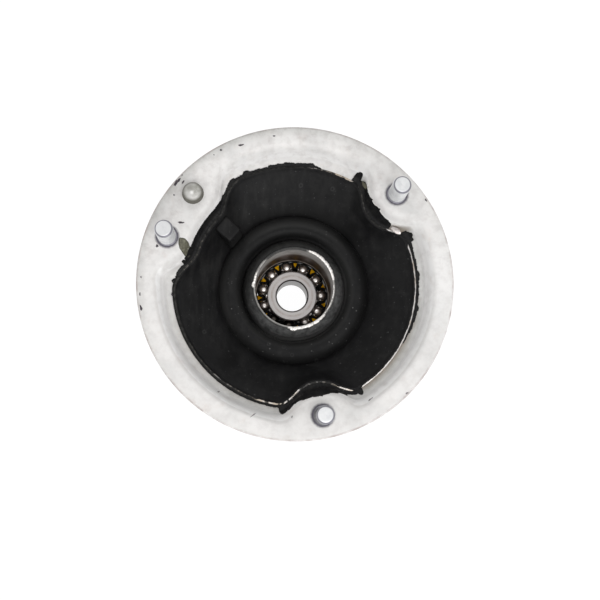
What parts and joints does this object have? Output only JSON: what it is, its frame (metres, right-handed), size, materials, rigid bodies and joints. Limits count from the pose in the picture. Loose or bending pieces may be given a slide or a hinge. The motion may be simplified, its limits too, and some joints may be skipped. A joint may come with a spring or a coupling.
{
  "type": "strut mount",
  "caption": "Strut mount: a studded pressed flange with a lobed bowl of bonded rubber, which carries a self-aligning ball bearing for the strut rod.",
  "frame": {"origin": "on the axis, at the flange face that meets the strut tower", "axes": "+Z along the axis and the studs; +X lies 41.2 degrees clockwise of the first stud"},
  "size_m": [0.14, 0.1399, 0.0818],
  "materials": {
    "zinc": "zinc plated, pale and satin",
    "shell_steel": "dark phosphate with a bare rim",
    "rubber": "matt moulded rubber",
    "cup_steel": "bare steel with a brown stain",
    "plate_steel": "black coat",
    "stud_steel": "zinc plated thread",
    "pin_steel": "dull zinc",
    "bearing_steel": "ground steel",
    "ring_steel": "ground steel, satin",
    "ball_steel": "polished",
    "cage_plastic": "amber polyamide"
  },
  "bodies": {
    "root": {"flange_plate": "zinc", "outer_shell": "shell_steel", "rubber_body": "rubber", "bearing_cup": "cup_steel", "support_plate": "plate_steel", "studs": "stud_steel", "locating_pin": "pin_steel", "outer_ring": "bearing_steel"},
    "inner_ring": {"inner_ring": "ring_steel"},
    "ball_cage": {"ball_cage": "cage_plastic", "upper_ball_1": "ball_steel", "upper_ball_2": "ball_steel", "upper_ball_3": "ball_steel", "upper_ball_4": "ball_steel", "upper_ball_5": "ball_steel", "upper_ball_6": "ball_steel", "upper_ball_7": "ball_steel", "upper_ball_8": "ball_steel", "upper_ball_9": "ball_steel", "upper_ball_10": "ball_steel", "upper_ball_11": "ball_steel", "lower_ball_1": "ball_steel", "lower_ball_2": "ball_steel", "lower_ball_3": "ball_steel", "lower_ball_4": "ball_steel", "lower_ball_5": "ball_steel", "lower_ball_6": "ball_steel", "lower_ball_7": "ball_steel", "lower_ball_8": "ball_steel", "lower_ball_9": "ball_steel", "lower_ball_10": "ball_steel", "lower_ball_11": "ball_steel"}
  },
  "joints": [
    {"name": "inner_spin", "type": "hinge", "parent": "root", "child": "inner_ring", "pos_m": [0, 0, -0.0563], "axis": [0, 0, 1], "continuous": true},
    {"name": "cage_orbit", "type": "hinge", "parent": "root", "child": "ball_cage", "pos_m": [0, 0, -0.0563], "axis": [0, 0, 1], "continuous": true}
  ],
  "couplings": [
    {"joint": "cage_orbit", "follows": "inner_spin", "ratio": 0.3953}
  ]
}
